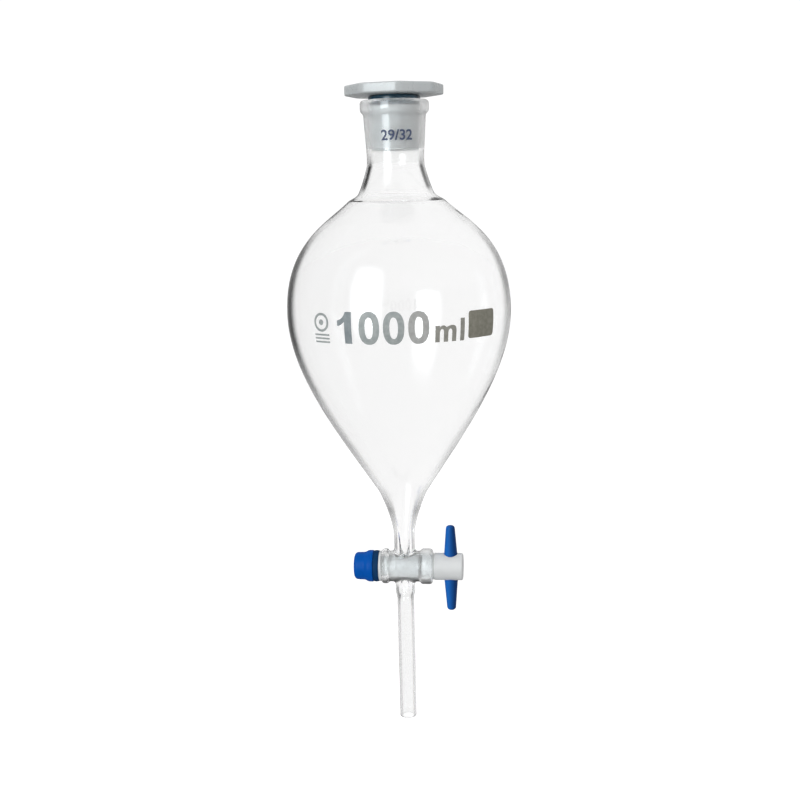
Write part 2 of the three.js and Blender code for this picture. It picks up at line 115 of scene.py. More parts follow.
# Key
PLUG_GAUGE_X = 14.0
PLUG_GAUGE_R = 7.25
PLUG_TAPER = 1 / 20
PLUG_END_X = -12.9
RUNNING_GAP = 0.1
KEY_HEAD_X = 17.2
KEY_HEAD_R = key_high.y
O_RING_X = 9.6
O_RING_SECTION_R = 0.75
TAIL_R = 4.5
THREAD_PITCH = 2.5
THREAD_DEPTH = 0.4
THREAD_CREST = 0.7
THREAD_STEPS = 20
WASHER_BORE_R = 5.3

# Stopper
RING_SEAT_R = 12.6
HEAD_THICKNESS = 5.5
HEAD_CORNER_R = 27.6
HEAD_CORNER_BLEND = 2.4
HEAD_EDGE = 0.9
HEAD_TURN = math.radians(11)
CONE_TOP_Z = ring_low.z - 0.2


def grind_r(z):
    return GRIND_TOP_R - (GRIND_TOP_Z - z) * GRIND_TAPER


def plug_r(x):
    return PLUG_GAUGE_R + (x - PLUG_GAUGE_X) * PLUG_TAPER


def bore_r(x):
    return plug_r(x) + RUNNING_GAP


# ---------- outlines: arrays of (radius, place along the axis) ----------

def bezier(start, handle_a, handle_b, end, steps):
    """Points on a curve, or rings of points where each end and handle is a ring."""
    t = np.linspace(0, 1, steps + 1).reshape(-1, *[1] * np.ndim(start))
    a, b, c, d = (np.array(p, float) for p in (start, handle_a, handle_b, end))
    return (1 - t) ** 3 * a + 3 * (1 - t) ** 2 * t * b + 3 * (1 - t) * t * t * c + t ** 3 * d


def corner(start, peak, end, steps):
    """A rounded corner from start to end, bulging towards peak."""
    round_share = 0.55
    a, p, b = (np.array(q, float) for q in (start, peak, end))
    return bezier(a, a + (p - a) * round_share, b + (p - b) * round_share, b, steps)


def line(start, end, steps):
    t = np.linspace(0, 1, steps + 1)[:, None]
    return np.array(start, float) * (1 - t) + np.array(end, float) * t


def path(*parts):
    """Joins outlines end to end and drops repeated points. A part is points, or goes on from the
    last point: (steps, end) straight, (steps, peak, end) round a corner, or (steps, handle,
    handle, end) on a curve."""
    points = []
    for part in parts:
        if isinstance(part, tuple) and np.ndim(part[-1]):
            steps, *marks = part
            part = (line, corner, bezier)[len(marks) - 1](points[-1], *marks, steps)
        points.extend(np.atleast_2d(np.array(part, float)))
    points = np.array(points)
    keep = np.r_[True, np.linalg.norm(np.diff(points, axis=0), axis=1) > 1e-6]
    return points[keep]


def inward(outside, wall):
    """The inside of a wall: outside moved by its thickness, which may differ by point."""
    along = np.gradient(outside, axis=0)
    along /= np.linalg.norm(along, axis=1)[:, None]
    across = np.stack([along[:, 1], -along[:, 0]], 1)
    return outside + across * np.reshape(wall, (-1, 1))


# ---------- surfaces built of rings ----------

class Skin:
    """A surface of rings of points joined by quads. Points in one place become one point."""

    def __init__(self):
        self.points = []
        self.faces = []
        self.slots = []

    def ring(self, coords):
        start = len(self.points)
        self.points.extend(np.asarray(coords, float).tolist())
        return range(start, len(self.points))

    def strip(self, rings, slot=0):
        """Joins each ring to the next. The rings are closed and have equal counts."""
        known = [r if isinstance(r, range) else self.ring(r) for r in rings]
        for a, b in zip(known, known[1:]):
            count = len(a)
            for i in range(count):
                j = (i + 1) % count
                self.faces.append((a[i], a[j], b[j], b[i]))
                self.slots.append(slot)
        return known[0], known[-1]

    def fan(self, ring, centre):
        middle = self.ring([centre])[0]
        count = len(ring)
        for i in range(count):
            self.faces.append((ring[i], ring[(i + 1) % count], middle))
            self.slots.append(0)

    def capped(self, rings, low_centre, high_centre):
        """Joins rings and closes both ends."""
        low, high = self.strip(rings)
        self.fan(low, low_centre)
        self.fan(high, high_centre)

    def piece(self, name, materials, sharp_deg=35):
        mesh = mesh_from(name, self.points, self.faces, self.slots)
        mesh.polygons.foreach_set("use_smooth", [True] * len(mesh.polygons))
        mesh.set_sharp_from_angle(angle=math.radians(sharp_deg))
        return place(mesh, name, materials)


def mesh_from(name, points, faces, slots=()):
    """A mesh with its faces turned outward. With material slots, points in one place are joined."""
    mesh = bpy.data.meshes.new(name)
    mesh.from_pydata([[c * MM for c in p] for p in points], [], faces)
    if slots:
        mesh.polygons.foreach_set("material_index", slots)
    work = bmesh.new()
    work.from_mesh(mesh)
    if slots:
        bmesh.ops.remove_doubles(work, verts=work.verts, dist=1e-7)
        bmesh.ops.dissolve_degenerate(work, edges=work.edges, dist=1e-8)
    bmesh.ops.recalc_face_normals(work, faces=work.faces)
    work.to_mesh(mesh)
    work.free()
    return mesh


def evaluated(item):
    """A new mesh of an object as its modifiers or its curves make it."""
    graph = bpy.context.evaluated_depsgraph_get()
    return bpy.data.meshes.new_from_object(item.evaluated_get(graph))


def place(mesh, name, materials):
    for m in materials:
        mesh.materials.append(m)
    return added(name, mesh)


def added(name, data):
    """A new object in the scene."""
    item = bpy.data.objects.new(name, data)
    bpy.context.scene.collection.objects.link(item)
    return item


def belongs(piece, body, slot, *nodes):
    """Says which body a piece rides on, and the CAD nodes it stands for. The material slot it is
    given is not used.
    """
    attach(piece, body)
    if nodes:
        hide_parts(*nodes)


def even_angles(count):
    return np.arange(count) * 2 * math.pi / count


def circle(angles):
    return np.stack([np.cos(angles), np.sin(angles)], 1)


ROUND = even_angles(96)


def about_z(profile, angles, z=0.0, x=0.0):
    """One ring about an upright axis for each (radius, height). A radius may differ by angle."""
    return [np.stack([x + r * np.cos(angles), r * np.sin(angles), np.full(len(angles), h + z)], 1)
            for r, h in profile]


def about_x(profile, angles):
    """One ring about the stopcock's axis for each (radius, place along it)."""
    return [np.stack([np.full(len(angles), x), r * np.sin(angles), COCK_Z + r * np.cos(angles)], 1)
            for r, x in profile]


# ---------- materials ----------

class Nodes:
    """Short ways to add nodes to a tree."""

    def __init__(self, tree):
        self.tree = tree

    def feed(self, socket, value):
        if isinstance(value, bpy.types.NodeSocket):
            self.tree.links.new(value, socket)
        else:
            socket.default_value = value

    def add(self, kind, *first, **named):
        """A node with its first sockets fed in order and others fed by name."""
        node = self.tree.nodes.new("ShaderNode" + kind)
        for socket, value in zip(node.inputs, first):
            self.feed(socket, value)
        for socket, value in named.items():
            self.feed(node.inputs[socket.replace("_", " ")], value)
        return node

    def maths(self, operation, a, b=0.0):
        node = self.add("Math", a, b)
        node.operation = operation
        return node.outputs[0]

    def times(self, a, b):
        return self.maths("MULTIPLY", a, b)

    def less(self, a, b):
        return self.maths("SUBTRACT", a, b)

    def vector(self, operation, *first):
        node = self.add("VectorMath", *first)
        node.operation = operation
        return node.outputs

    def spread(self, value, low, high, from_low=0.35, from_high=0.65):
        """Maps a pattern's usual range to the range from low to high."""
        return self.add("MapRange", value, from_low, from_high, low, high).outputs["Result"]

    def mixed(self, share, first, second):
        """A number between two others."""
        node = self.add("Mix", share)
        self.feed(node.inputs[2], first)
        self.feed(node.inputs[3], second)
        return node.outputs[0]

    def blend(self, share, first, second):
        """A colour between two others."""
        node = self.add("Mix", share)
        node.data_type = "RGBA"
        self.feed(node.inputs[6], first)
        self.feed(node.inputs[7], second)
        return node.outputs[2]

    def curves(self, place, stops):
        """Two numbers read off a list of (place, first, second)."""
        node = self.add("ValToRGB", place)
        marks = node.color_ramp.elements
        marks[0].position, marks[1].position = stops[0][0], stops[-1][0]
        for stop in stops[1:-1]:
            marks.new(stop[0])
        for mark, (_, first, second) in zip(marks, stops):
            mark.color = (first, second, 0, 1)
        parts = self.add("SeparateColor", Color=node.outputs["Color"])
        return parts.outputs["Red"], parts.outputs["Green"]


class Look(Nodes):
    """A material with a Principled shader, whose sockets are set by name."""

    def __init__(self, name, **sockets):
        self.material = bpy.data.materials.new(name)
        self.material.use_nodes = True
        super().__init__(self.material.node_tree)
        self.shader = self.tree.nodes["Principled BSDF"]
        self.place = self.add("TexCoord").outputs["Object"]
        for socket, value in sockets.items():
            self.shader.inputs[socket.replace("_", " ")].default_value = value

    def noise(self, scale, detail=2.0, roughness=0.5, stretch=None):
        where = self.place
        if stretch is not None:
            where = self.add("Mapping", Vector=where, Scale=stretch).outputs["Vector"]
        return self.add("TexNoise", Vector=where, Scale=scale, Detail=detail,
                        Roughness=roughness).outputs["Fac"]

    def tint(self, value, low, high):
        return self.blend(value, (*low, 1), (*high, 1))

    def from_axis(self):
        """Distance from the funnel's axis, in metres."""
        flat = self.vector("MULTIPLY", self.place, (1, 1, 0))["Vector"]
        return self.vector("LENGTH", flat)["Value"]

    def height(self, low, high):
        """0 below one height and 1 above another, in millimetres."""
        where = self.add("SeparateXYZ", Vector=self.place).outputs["Z"]
        return self.spread(where, 0.0, 1.0, low * MM, high * MM)

    def bump(self, height, strength, depth_mm):
        """Adds relief to the shader's normal, on top of any that is there."""
        node = self.add("Bump", Height=height, Strength=strength, Distance=depth_mm * MM)
        old = self.shader.inputs["Normal"]
        if old.is_linked:
            self.feed(node.inputs["Normal"], old.links[0].from_socket)
        self.feed(old, node.outputs["Normal"])

    def colour(self, value):
        self.feed(self.shader.inputs["Base Color"], value)

    def surface(self, rough, grain, *reliefs):
        """A roughness that varies with a grain. A relief is a pattern, a strength and a depth."""
        fine = self.spread(self.noise(*grain), *rough)
        self.feed(self.shader.inputs["Roughness"], fine)
        for pattern, strength, depth_mm in reliefs:
            self.bump(self.noise(*pattern), strength, depth_mm)
        return self.material


GLASS_IOR = 1.474
GLASS_KEEPS = 0.94
STEM_KEEPS = 0.905

# Painted shade near the glass's outline, by depth from it in millimetres: (depth, bulb, neck)
EDGE_SHADE_BY_DEPTH = ((0.0, 0.25, 0.05), (0.5, 0.88, 0.35), (1.0, 1.0, 0.75), (1.5, 1.0, 0.97),
             (2.05, 0.92, 1.0), (2.5, 0.79, 0.82), (3.05, 0.57, 0.35), (3.6, 0.34, 0.06),
             (4.1, 0.14, 0.0), (5.0, 0.0, 0.0))
# How strong that painted shade is by height: (height, -X side, +X side)
EDGE_SHADE_BY_HEIGHT = (
    (-196, 0.24, 0.26), (-142, 0.22, 0.24), (-129, 0.30, 0.32), (-122, 0.62, 0.58),
    (-97, 0.60, 0.50), (-88, 0.50, 0.42), (-82, 0.20, 0.24), (-76, 0.32, 0.32),
    (-69, 0.56, 0.52), (-60, 0.28, 0.22), (-52, 0.10, 0.02), (-30, 0.38, 0.22),
    (-8, 0.38, 0.12), (14, 0.66, 0.16), (30, 0.92, 0.42), (46, 0.92, 0.48), (62, 0.90, 0.72),
    (78, 0.80, 0.56), (91, 0.10, 0.0), (104, 0.0, 0.0), (108.5, 0.05, 0.03),
    (110.5, 0.38, 0.26), (112.5, 0.90, 0.80), (123.5, 0.93, 0.88), (126, 0.42, 0.42),
    (128, 0.26, 0.26), (133, 0.03, 0.05))
EDGE_LOW_Z, EDGE_HIGH_Z = -200, 160

# Heights between which the painted shade band and the tint change over
STEM_TO_BULB = (-86, -80)
BULB_TO_NECK = (100, 108)
STEM_TINT = (-125, -112)
# The same for the stopcock's barrel, above and below its axis
BARREL_FADE = (9, 12)
# How level a wall may be, so that the band's depth stays finite
LEAST_LEAN = 0.2


def painted_edge_shade(look):
    """Painted shade: near a tube's outline the glass's colour darkens in a soft band, which stands
    in for light run along inside the wall from the dim sides of the room. Its depth is worked out
    for a round tube."""
    near, far = BARREL_FADE
    barrel = look.times(look.height(COCK_Z - far, COCK_Z - near),
                        look.spread(look.height(COCK_Z + near, COCK_Z + far), 1, 0, 0, 1))
    radius = look.mixed(barrel, look.from_axis(), BARREL_R * MM)
    facing = look.add("LayerWeight", Blend=0.5).outputs["Facing"]
    normal = look.add("SeparateXYZ", look.add("NewGeometry").outputs["Normal"]).outputs
    level = look.times(normal["Z"], normal["Z"])
    lean = look.maths("SQRT", look.maths("MAXIMUM", look.less(1.0, level), LEAST_LEAN))
    toward = look.maths("MINIMUM", look.maths("DIVIDE", look.less(1.0, facing), lean), 1.0)
    past_middle = look.maths("SQRT", look.less(1.0, look.times(toward, toward)))
    depth = look.times(radius, look.less(1.0, past_middle))
    deepest = EDGE_SHADE_BY_DEPTH[-1][0]
    bulb, neck = look.curves(look.maths("DIVIDE", depth, deepest * MM),
                             [(place_in / deepest, *dark) for place_in, *dark in EDGE_SHADE_BY_DEPTH])
    narrow = look.spread(look.height(*STEM_TO_BULB), 0.5, 0.0, 0, 1)
    band = look.mixed(look.maths("MAXIMUM", look.height(*BULB_TO_NECK), narrow), bulb, neck)
    span = EDGE_HIGH_Z - EDGE_LOW_Z
    left, right = look.curves(look.height(EDGE_LOW_Z, EDGE_HIGH_Z),
                              [((z - EDGE_LOW_Z) / span, *dark) for z, *dark in EDGE_SHADE_BY_HEIGHT])
    # painted shade: the band is set stronger where the surface faces -X and weaker where it faces
    # +X
    strength = look.mixed(look.spread(normal["X"], 0, 1, -0.8, 0.8), left, right)
    # painted shade under the stopcock's barrel: its glass colour darkens where the surface faces
    # down
    shade_underneath = look.spread(normal["Z"], 0.8, 0.0, -0.75, -0.25)
    outside = look.spread(facing, 0, 1, 0.27, 0.34)
    return look.times(look.mixed(barrel, look.times(band, strength), shade_underneath), outside)


def clear_glass(name, with_edge_shade):
    """Borosilicate with faint waves left by blowing. With edge shade, its colour holds painted
    shade near its outline.
    """
    look = Look(name, Transmission_Weight=1.0, IOR=GLASS_IOR, Roughness=0.0,
                Base_Color=(1, 1, 1, 1))
    if with_edge_shade:
        level = look.spread(look.height(*STEM_TINT), STEM_KEEPS, GLASS_KEEPS, 0, 1)
        # painted shade: the edge band is taken off the glass's colour
        kept = look.maths("MAXIMUM", look.less(level, painted_edge_shade(look)), 0.0)
        look.colour(look.times(kept, kept))
    look.bump(look.noise(55, 1.0), 0.15, 1.0)
    return look.material


def uneven(name, patches, low, high, rough, grain, *reliefs, **sockets):
    """A material with patches of colour, between low and high, and an uneven surface."""
    look = Look(name, **sockets)
    look.colour(look.tint(look.noise(*patches), low, high))
    return look.surface(rough, grain, *reliefs)


def ground_glass(name, pale, clearness, rough=(0.26, 0.42)):
    """A ground surface inside the socket or the stopcock barrel."""
    grain = (5200, 3.0)
    return uneven(name, (160,), pale, [0.05 + 0.95 * c for c in pale], rough, grain,
                  (grain, 0.35, 0.04), Transmission_Weight=clearness, IOR=GLASS_IOR)


def polyethylene():
    """Translucent grey-blue moulding, thick at the head, with a soft skin and marks. Its colour
    holds
    painted light and shade by height: lighter on the thin plug, darker on the thick head.
    """
    look = Look("grey_polyethylene", IOR=1.5, Specular_IOR_Level=0.6, Subsurface_Weight=0.3,
                Subsurface_Scale=0.003, Subsurface_Radius=(1.0, 1.05, 1.1))
    cloud = look.noise(90, 3.0)
    # painted light and shade: the plug's colour is set lighter and the head's darker
    plug = look.tint(cloud, (0.56, 0.575, 0.58), (0.63, 0.64, 0.64))
    head = look.tint(cloud, (0.49, 0.52, 0.53), (0.56, 0.585, 0.59))
    look.colour(look.blend(look.height(RIM_Z - 2, RIM_Z + 3), plug, head))
    return look.surface((0.26, 0.38), (700, 4.0), ((1600, 3.0), 0.12, 0.02),
                        ((120, 2.0), 0.15, 0.2))


def ring_plastic():
    return uneven("dark_ring_plastic", (300,), (0.006, 0.040, 0.070), (0.012, 0.062, 0.105),
                  (0.16, 0.3), (900, 3.0), ((700,), 0.15, 0.05), IOR=1.5, Coat_Weight=0.3,
                  Coat_Roughness=0.08)


def ptfe():
    """Waxy white, with the fine rings that turning leaves across X."""
    turning = (1.0, 2.0, 0.6, (2600, 30, 30))
    return uneven("white_ptfe", (150, 3.0), (0.70, 0.72, 0.725), (0.78, 0.795, 0.80),
                  (0.36, 0.52), turning, (turning, 0.3, 0.03), ((500, 2.0), 0.15, 0.05),
                  IOR=1.38, Subsurface_Weight=0.3, Subsurface_Scale=0.0015,
                  Subsurface_Radius=(1.0, 1.0, 1.0))


def blue_plastic(name, with_painted_shade):
    """Satin blue moulding, a little uneven, with faint scuffs. One with painted shade is painted
    lighter towards -X and darker towards +X."""
    look = Look(name, IOR=1.5, Specular_IOR_Level=0.06)
    cloud = look.noise(110, 3.0)
    if with_painted_shade:
        # painted light and shade: the colour is lighter where the surface faces -X and darker where
        # it faces +X
        normal = look.add("NewGeometry").outputs["Normal"]
        side = look.spread(look.add("SeparateXYZ", normal).outputs["X"], 0, 1, -0.5, 0.6)
        look.colour(look.blend(side, look.tint(cloud, (0.010, 0.135, 0.52), (0.014, 0.155, 0.58)),
                               look.tint(cloud, (0.004, 0.038, 0.15), (0.006, 0.045, 0.19))))
    else:
        look.colour(look.tint(cloud, (0.0, 0.085, 0.42), (0.0, 0.105, 0.50)))
    return look.surface((0.30, 0.48), (800, 5.0, 0.6), ((650, 3.0), 0.2, 0.04))


def dark_rubber():
    return uneven("dark_rubber", (500, 4.0), (0.002, 0.034, 0.110), (0.005, 0.048, 0.145),
                  (0.5, 0.72), (1500, 3.0), ((1800, 3.0), 0.4, 0.04), IOR=1.5,
                  Specular_IOR_Level=0.08)


def pale_silicone():
    return uneven("pale_silicone", (600,), (0.60, 0.61, 0.60), (0.70, 0.71, 0.70), (0.35, 0.5),
                  (900,), IOR=1.41, Transmission_Weight=0.35)


def enamel(name, dark, pale):
    """Fired print: slightly raised grain and uneven cover."""
    look = Look(name, IOR=1.5)
    look.colour(look.tint(look.spread(look.noise(420, 5.0, 0.65), 0.0, 1.0), dark, pale))
    return look.surface((0.45, 0.65), (2200, 3.0), ((2600, 3.0), 0.35, 0.02))


# ---------- glass ----------

# Material slots of the glass; the outside is slot 0
INSIDE_SLOT, TAPER_SLOT, TAPER_END_SLOT, BORE_SLOT = range(1, 5)
# Points along the sides of the patches between the barrel and its side tubes, and their rows
END_SIDE = 48
LONG_SIDE = 24
PATCH_ROWS = 6
FILLET_ROWS = 8


def patch_border():
    """The border of half the barrel's side, unrolled flat: (x, arc), once round from +X."""
    half_arc = BARREL_R * math.pi / 2
    u = np.linspace(-1, 1, END_SIDE + 1)[:-1]
    widest = math.atan2(half_arc, PATCH_X)
    arcs = half_arc * (u + np.tan(u * widest) / math.tan(widest)) / 2
    xs = np.linspace(PATCH_X, -PATCH_X, LONG_SIDE + 1)[:-1]
    head = np.stack([np.full(END_SIDE, PATCH_X), arcs], 1)
    left = np.stack([xs, np.full(LONG_SIDE, half_arc)], 1)
    return np.vstack([head, left, -head, -left])


def side_angles():
    """Angles round the funnel's axis, one for each point of the outer patch's border."""
    border = patch_border()
    return np.arctan2(border[:, 1], border[:, 0])


def barrel_angles():
    """Angles round the stopcock's axis that meet both patches' ends."""
    upper = patch_border()[: END_SIDE + 1, 1] / BARREL_R
    return np.r_[upper[:-1], upper[:-1] + math.pi]


def barrel_patch(hole, border, radius_at, reference_r, side):
    """Rows of an unrolled patch from its border to its hole, rolled onto the barrel. side is 1
    above the stopcock's axis and -1 below."""
    rows = []
    for t in np.linspace(1, 0, PATCH_ROWS + 1):
        x, arc = (hole * (1 - t) + border * t).T
        radius = radius_at(x)
        turn = arc / reference_r
        rows.append(np.stack([x, radius * np.sin(turn), COCK_Z + side * radius * np.cos(turn)], 1))
    return rows


def outer_patch(skin, tube_r, side, angles):
    """Barrel's side with a filleted tube on it. Returns the ring where the straight tube starts."""
    hole = (tube_r + SEAL_FILLET) * circle(angles)
    rows = barrel_patch(hole, patch_border(), lambda x: BARREL_R, BARREL_R, side)
    foot = rows[-1]
    turn = hole[:, 1] / BARREL_R
    outward = np.stack([np.cos(angles), np.sin(angles) * np.cos(turn),
                        -side * np.sin(angles) * np.sin(turn)], 1)
    meet = np.sqrt(BARREL_R ** 2 - (tube_r * np.sin(angles)) ** 2)
    top = np.column_stack([tube_r * circle(angles), COCK_Z + side * (meet + SEAL_FILLET)])
    handle = SEAL_FILLET * 0.62
    up = np.array([0, 0, side])
    fillet = bezier(foot, foot - outward * handle, top - up * handle, top, FILLET_ROWS)
    return skin.strip([*rows, *fillet[1:]])[1]


def inner_patch(skin, side, angles):
    """Inside of the barrel with the flow hole in it. Returns the hole's ring."""
    middle_r = float(bore_r(0.0))
    x = FLOW_R * np.cos(angles)
    hole = np.stack([x, middle_r * np.arcsin(FLOW_R * np.sin(angles) / bore_r(x))], 1)
    border = patch_border()
    border[:, 1] *= middle_r / BARREL_R
    rows = barrel_patch(hole, border, bore_r, middle_r, side)
    return skin.strip(rows, slot=BORE_SLOT)[1]


def bulb_outline():
    leaving = (SHOULDER_R + 16 * math.cos(SHOULDER_ANGLE),
               SHOULDER_Z - 16 * math.sin(SHOULDER_ANGLE))
    return path(
        (NECK_SEAL_R, NECK_SEAL_Z),
        (10, (21.6, 107.2), (24.2, 106.9), (SHOULDER_R, SHOULDER_Z)),
        (30, leaving, (BELLY_R, BELLY_Z + 39), (BELLY_R, BELLY_Z)),
        (34, (BELLY_R, BELLY_Z - 32.8), (CONE_END_R + 36.4 * CONE_SLOPE, CONE_END_Z + 36.4),
         (CONE_END_R, CONE_END_Z)),
        (12, (CONE_END_R - 3.6 * CONE_SLOPE, CONE_END_Z - 3.6), (THROAT_R, THROAT_Z + 6.5),
         (THROAT_R, THROAT_Z)),
    )


def neck_outline():
    return path(
        (17.3, RIM_Z),
        (8, (BEAD_R, RIM_Z), (BEAD_R, RIM_Z - 1.8)),
        (2, (BEAD_R, RIM_Z - 4.6)),
        (10, (BEAD_R, RIM_Z - 6.8), (BARREL_TOP_R, RIM_Z - 6.6),
         (BARREL_TOP_R - 0.02, RIM_Z - 8.5)),
        (8, (NECK_R + 0.05, BORE_END_Z + 6)),
        (6, (NECK_R - 0.05, BORE_END_Z + 2), (NECK_R - 0.1, 124), (NECK_R + 0.45, 122.8)),
        (12, (NECK_R + 1.4, 119.0), (18.9, 113.6), (NECK_SEAL_R, NECK_SEAL_Z)),
    )


OUTER_PROFILE = path(neck_outline(), bulb_outline())


def inner_profile():
    """The inside of neck and bulb, from the end of the ground taper down to the flow bore."""
    outline = bulb_outline()
    outline = outline[outline[:, 1] < NECK_SEAL_Z - 0.5]
    near_neck = np.clip((outline[:, 1] - (SHOULDER_Z - 12)) / 14, 0, 1)
    near_throat = np.clip((CONE_END_Z - 12 - outline[:, 1]) / 14, 0, 1)
    wall = BULB_WALL + (NECK_WALL - BULB_WALL) * near_neck + 0.9 * near_throat
    inside = inward(outline, wall)
    inside = inside[inside[:, 1] > THROAT_Z + 4]
    end_r, end_z = inside[-1]
    return path(
        (grind_r(BORE_END_Z), BORE_END_Z),
        (12, (13.0, 121), (16.2, 114.5), inside[0]),
        inside,
        (12, (end_r - 0.6, end_z - 4), (FLOW_R + 0.5, -90), (FLOW_R, -95)),
    )


def glass_body(looks):
    """The whole flame-sealed glass as one closed surface, with a material for each slot."""
    skin = Skin()
    angles = side_angles()
    upper_foot = outer_patch(skin, THROAT_R, 1, angles)
    lower_foot = outer_patch(skin, COLLAR_R, -1, angles)
    upper_hole = inner_patch(skin, 1, angles)
    lower_hole = inner_patch(skin, -1, angles)

    # Outside and inside above the stopcock
    outside = about_z(OUTER_PROFILE, angles)
    _, rim = skin.strip([upper_foot, *outside[::-1]])
    grind_start = (grind_r(GRIND_TOP_Z), GRIND_TOP_Z)
    mouth = about_z(corner((17.3, RIM_Z), (15.1, RIM_Z), grind_start, 8), angles)
    _, lip = skin.strip([rim, *mouth[1:4]])
    _, grind_top = skin.strip([lip, *mouth[4:]], slot=TAPER_SLOT)
    taper = about_z(line(grind_start, (grind_r(BORE_END_Z), BORE_END_Z), 12), angles)
    plug_rows = round(len(taper) * (GRIND_TOP_Z - stopper_low.z) / GRIND_LENGTH)
    _, plug_end = skin.strip([grind_top, *taper[1:plug_rows]], slot=TAPER_SLOT)
    _, grind_end = skin.strip([plug_end, *taper[plug_rows:]], slot=TAPER_END_SLOT)
    inside = about_z(inner_profile()[1:], angles)
    skin.strip([grind_end, *inside, upper_hole], slot=INSIDE_SLOT)

    # Stem below the stopcock
    collar_z = COCK_Z - 13.4
    seal_z = stem_high.z
    round_z = TIP_Z + 0.65
    middle_r = (STEM_R + STEM_BORE_R) / 2
    stem_profile = path(
        (COLLAR_R, COCK_Z - 11.4),
        (2, (COLLAR_R, collar_z)),
        (10, (COLLAR_R, collar_z - 3), (STEM_R, collar_z - 3.4), (STEM_R, seal_z)),
        (24, (STEM_R, round_z)),
        (8, (STEM_R, TIP_Z), (middle_r + 0.1, TIP_Z)),
        (middle_r - 0.1, TIP_Z),
        (8, (STEM_BORE_R, TIP_Z), (STEM_BORE_R, round_z)),
        (24, (STEM_BORE_R, seal_z)),
        (12, (STEM_BORE_R, seal_z + 4), (FLOW_R, COCK_Z - 15.5), (FLOW_R, COCK_Z - 10.5)),
    )
    rings = about_z(stem_profile, angles)
    tip = int(np.argmin(stem_profile[:, 1] + stem_profile[:, 0] * 1e-3))
    _, tip_ring = skin.strip([lower_foot, *rings[:tip + 1]])
    skin.strip([tip_ring, *rings[tip + 1:], lower_hole], slot=INSIDE_SLOT)

    # Mouths of the barrel
    turn = barrel_angles()
    head_bead = (
        (10, (BARREL_R, PATCH_X + 0.9), (HEAD_BEAD_R, PATCH_X + 0.9),
         (HEAD_BEAD_R, PATCH_X + 2.6)),
        (2, (HEAD_BEAD_R, HEAD_X - 2.0)),
        (8, (HEAD_BEAD_R, HEAD_X), (HEAD_BEAD_R - 1.7, HEAD_X)),
    )
    tail_bead = (
        (10, (BARREL_R, -PATCH_X - 0.8), (TAIL_BEAD_R, -PATCH_X - 0.9),
         (TAIL_BEAD_R, -PATCH_X - 2.3)),
        (TAIL_BEAD_R, TAIL_X + 1.6),
        (8, (TAIL_BEAD_R, TAIL_X), (TAIL_BEAD_R - 1.4, TAIL_X)),
    )
    for bead, end_x, side in ((head_bead, HEAD_X, 1), (tail_bead, TAIL_X, -1)):
        bore = bore_r(end_x)
        mouth = path((BARREL_R, side * PATCH_X), *bead, (bore + 0.7, end_x),
                     (6, (bore, end_x), (bore, end_x - side * 0.7)))
        _, bore_ring = skin.strip(about_x(mouth, turn))
        bore_start = about_x([(bore_r(side * PATCH_X), side * PATCH_X)], turn)
        skin.strip([bore_ring, *bore_start], slot=BORE_SLOT)
    piece = skin.piece("glass_body", looks, sharp_deg=50)
    belongs(piece, "glass", "clear_glass", "ground_socket", "bulb", "stopcock_barrel", "stem")


# ---------- stopper ----------

def octagon(inset, z, steps=6):
    """Octagon with rounded corners, moved in by inset, at a height."""
    shrink = inset / math.cos(math.pi / 8)
    turns = HEAD_TURN - math.pi / 2 + np.arange(8) * math.pi / 4
    corners = (HEAD_CORNER_R - shrink) * circle(turns)
    blend = max(HEAD_CORNER_BLEND - inset * 0.3, 0.6)

    def toward(a, b):
        return a + (b - a) / np.linalg.norm(b - a) * blend

    points = []
    for before, here, after in zip(np.roll(corners, 1, 0), corners, np.roll(corners, -1, 0)):
        end = toward(here, after)
        points.append(corner(toward(here, before), here, end, steps)[:-1])
        points.append(line(end, toward(after, here), steps)[:-1])
    flat = np.vstack(points)
    return np.column_stack([flat, np.full(len(flat), z)])


